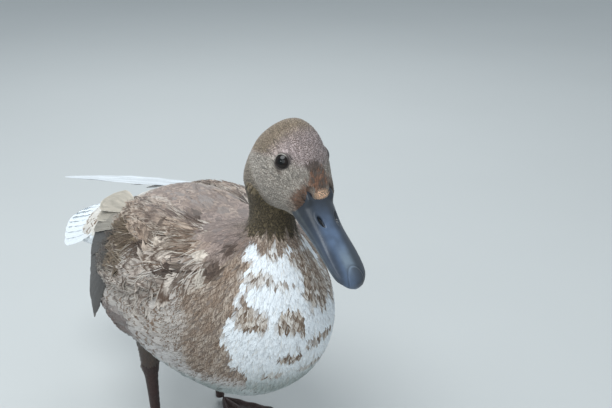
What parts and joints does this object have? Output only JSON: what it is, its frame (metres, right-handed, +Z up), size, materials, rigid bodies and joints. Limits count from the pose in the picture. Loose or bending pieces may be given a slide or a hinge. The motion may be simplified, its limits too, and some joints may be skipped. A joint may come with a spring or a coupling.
{
  "type": "standing duck",
  "caption": "Life-size standing duck with folded wings, head turned slightly down, on two webbed feet.",
  "frame": {"origin": "centre of the duck's outer box at floor level, between the feet", "axes": "+X to the duck's left, -Y the way the trunk faces, +Z up"},
  "size_m": [0.1474, 0.378, 0.2972],
  "materials": {
    "body_feather": "soft matt feathers, brown and white",
    "wing_feather": "matt flight feathers with pale edges",
    "tail_feather": "matt white feathers",
    "bill_horn": "slate-blue leathery bill with a soft sheen",
    "eye": "wet dark eye",
    "leg_skin": "scaly dark reddish-brown skin",
    "claw_horn": "dark horn"
  },
  "bodies": {
    "root": {"trunk": "body_feather", "neck": "body_feather", "head": "body_feather", "bill_upper": "bill_horn", "bill_lower": "bill_horn", "tail": "tail_feather", "wing_right": "wing_feather", "wing_left": "wing_feather", "eye_right": "eye", "thigh_right": "body_feather", "shank_right": "leg_skin", "foot_right": "leg_skin", "claw_inner_right": "claw_horn", "claw_middle_right": "claw_horn", "claw_outer_right": "claw_horn", "claw_hind_right": "claw_horn", "eye_left": "eye", "thigh_left": "body_feather", "shank_left": "leg_skin", "foot_left": "leg_skin", "claw_inner_left": "claw_horn", "claw_middle_left": "claw_horn", "claw_outer_left": "claw_horn", "claw_hind_left": "claw_horn"}
  },
  "joints": []
}
